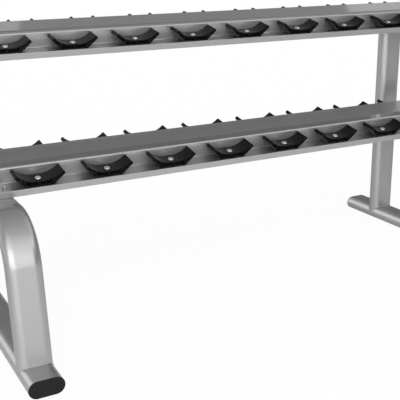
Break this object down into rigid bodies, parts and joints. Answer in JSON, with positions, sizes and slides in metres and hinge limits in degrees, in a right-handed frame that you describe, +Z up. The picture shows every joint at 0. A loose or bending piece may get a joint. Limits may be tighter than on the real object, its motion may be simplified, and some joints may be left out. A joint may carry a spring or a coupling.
{
  "type": "dumbbell rack",
  "caption": "Two-tier dumbbell rack on flat-oval tube end frames, with sloping sheet-steel trays and rows of moulded cradles that hold the dumbbell heads.",
  "frame": {"origin": "middle of the rack's footprint, on the floor", "axes": "+X along the rack to the right of someone facing its front, +Y from its front to its back, +Z up"},
  "size_m": [2.16, 0.8966, 0.9219],
  "materials": {
    "silver_paint": "glossy metallic silver paint",
    "black_rubber": "moulded, fine matt grain",
    "zinc_plate": "bright zinc plated",
    "black_plastic": "moulded, satin"
  },
  "bodies": {
    "root": {"left_foot": "silver_paint", "left_upright": "silver_paint", "left_front_leg": "silver_paint", "left_front_foot_cap": "black_plastic", "left_rear_foot_cap": "black_plastic", "right_foot": "silver_paint", "right_upright": "silver_paint", "right_front_leg": "silver_paint", "right_front_foot_cap": "black_plastic", "right_rear_foot_cap": "black_plastic", "lower_tray": "silver_paint", "lower_front_screw_strip": "zinc_plate", "lower_front_saddle_1": "black_rubber", "lower_front_saddle_2": "black_rubber", "lower_front_saddle_3": "black_rubber", "lower_front_saddle_4": "black_rubber", "lower_front_saddle_5": "black_rubber", "lower_front_saddle_6": "black_rubber", "lower_front_saddle_7": "black_rubber", "lower_front_saddle_8": "black_rubber", "lower_front_saddle_9": "black_rubber", "lower_front_saddle_10": "black_rubber", "lower_rear_screw_strip": "zinc_plate", "lower_rear_saddle_1": "black_rubber", "lower_rear_saddle_2": "black_rubber", "lower_rear_saddle_3": "black_rubber", "lower_rear_saddle_4": "black_rubber", "lower_rear_saddle_5": "black_rubber", "lower_rear_saddle_6": "black_rubber", "lower_rear_saddle_7": "black_rubber", "lower_rear_saddle_8": "black_rubber", "lower_rear_saddle_9": "black_rubber", "lower_rear_saddle_10": "black_rubber", "left_lower_bracket": "silver_paint", "right_lower_bracket": "silver_paint", "upper_tray": "silver_paint", "upper_front_screw_strip": "zinc_plate", "upper_front_saddle_1": "black_rubber", "upper_front_saddle_2": "black_rubber", "upper_front_saddle_3": "black_rubber", "upper_front_saddle_4": "black_rubber", "upper_front_saddle_5": "black_rubber", "upper_front_saddle_6": "black_rubber", "upper_front_saddle_7": "black_rubber", "upper_front_saddle_8": "black_rubber", "upper_front_saddle_9": "black_rubber", "upper_front_saddle_10": "black_rubber", "upper_rear_screw_strip": "zinc_plate", "upper_rear_saddle_1": "black_rubber", "upper_rear_saddle_2": "black_rubber", "upper_rear_saddle_3": "black_rubber", "upper_rear_saddle_4": "black_rubber", "upper_rear_saddle_5": "black_rubber", "upper_rear_saddle_6": "black_rubber", "upper_rear_saddle_7": "black_rubber", "upper_rear_saddle_8": "black_rubber", "upper_rear_saddle_9": "black_rubber", "upper_rear_saddle_10": "black_rubber", "left_upper_bracket": "silver_paint", "right_upper_bracket": "silver_paint"}
  },
  "joints": []
}
